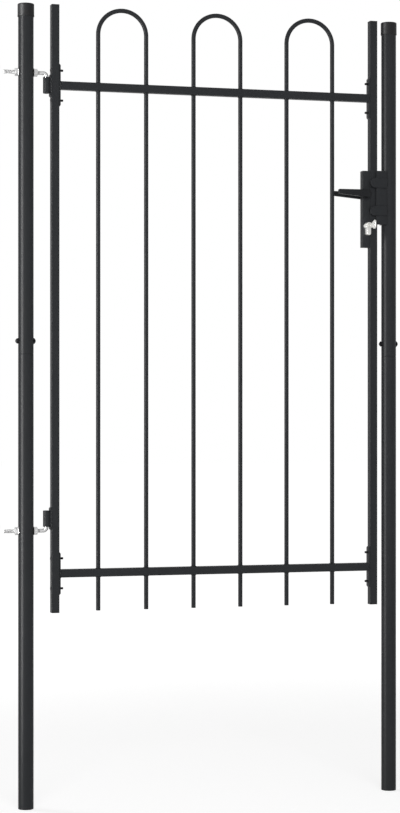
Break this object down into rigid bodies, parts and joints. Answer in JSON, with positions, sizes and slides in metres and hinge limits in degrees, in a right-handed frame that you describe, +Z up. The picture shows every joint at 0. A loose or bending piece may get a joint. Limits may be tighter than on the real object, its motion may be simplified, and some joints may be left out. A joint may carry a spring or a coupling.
{
  "type": "arched metal garden gate with posts",
  "caption": "Hinged metal garden gate leaf with round hooped bars, square tube frame, lever lock and key, hung between two round capped posts.",
  "frame": {"origin": "centre of the hinge post's foot", "axes": "+X from the hinge post to the latch post, +Y from the front to the back, +Z up along the posts"},
  "size_m": [1.0335, 0.112, 1.98],
  "materials": {
    "post_coat": "satin black powder coat on round steel tube",
    "leaf_coat": "satin black powder coat on square tube and round bar",
    "lever_coat": "satin black coated metal lever",
    "black_bolts": "black zinc-plated bolts and nuts",
    "black_plastic": "moulded black plastic caps and plugs",
    "zinc_plate": "bright zinc-plated steel",
    "nickel_plate": "satin nickel-plated brass"
  },
  "bodies": {
    "posts": {"hinge_post_lower": "post_coat", "hinge_post_upper": "post_coat", "hinge_post_cap": "black_plastic", "hinge_post_bolt": "black_bolts", "hinge_post_nut": "black_bolts", "latch_post_lower": "post_coat", "latch_post_upper": "post_coat", "latch_post_cap": "black_plastic", "latch_post_bolt": "black_bolts", "latch_post_nut": "black_bolts", "top_hinge_hook": "zinc_plate", "top_hinge_nuts": "zinc_plate", "top_hinge_washers": "zinc_plate", "bottom_hinge_hook": "zinc_plate", "bottom_hinge_nuts": "zinc_plate", "bottom_hinge_washers": "zinc_plate", "keep_plate": "post_coat", "keep_fingers": "post_coat"},
    "leaf": {"hinge_stile": "leaf_coat", "latch_stile": "leaf_coat", "stile_top_plugs": "black_plastic", "stile_bottom_plugs": "black_plastic", "top_rail": "leaf_coat", "bottom_rail": "leaf_coat", "top_rail_plates": "leaf_coat", "bottom_rail_plates": "leaf_coat", "top_rail_bolts": "black_bolts", "bottom_rail_bolts": "black_bolts", "hoop_1": "leaf_coat", "hoop_2": "leaf_coat", "hoop_3": "leaf_coat", "top_hinge_eye": "leaf_coat", "bottom_hinge_eye": "leaf_coat", "lock_case": "leaf_coat", "latch_bolt": "zinc_plate", "lock_cylinder": "nickel_plate"},
    "handle": {"front_lever": "lever_coat", "rear_lever": "lever_coat", "spindle": "zinc_plate"},
    "key_and_plug": {"lock_plug": "nickel_plate", "key": "nickel_plate"}
  },
  "joints": [
    {"name": "leaf_swing", "type": "hinge", "parent": "posts", "child": "leaf", "pos_m": [0.0515, 0, 0], "axis": [0, 0, 1], "range_deg": [0, 90]},
    {"name": "handle_turn", "type": "hinge", "parent": "leaf", "child": "handle", "pos_m": [0.8875, 0, 1.534], "axis": [0, -1, 0], "range_deg": [0, 45], "stiffness_Nm_per_rad": 0.4, "springref_deg": -45.84},
    {"name": "key_turn", "type": "hinge", "parent": "leaf", "child": "key_and_plug", "pos_m": [0.8875, 0, 1.452], "axis": [0, 1, 0], "continuous": true}
  ]
}
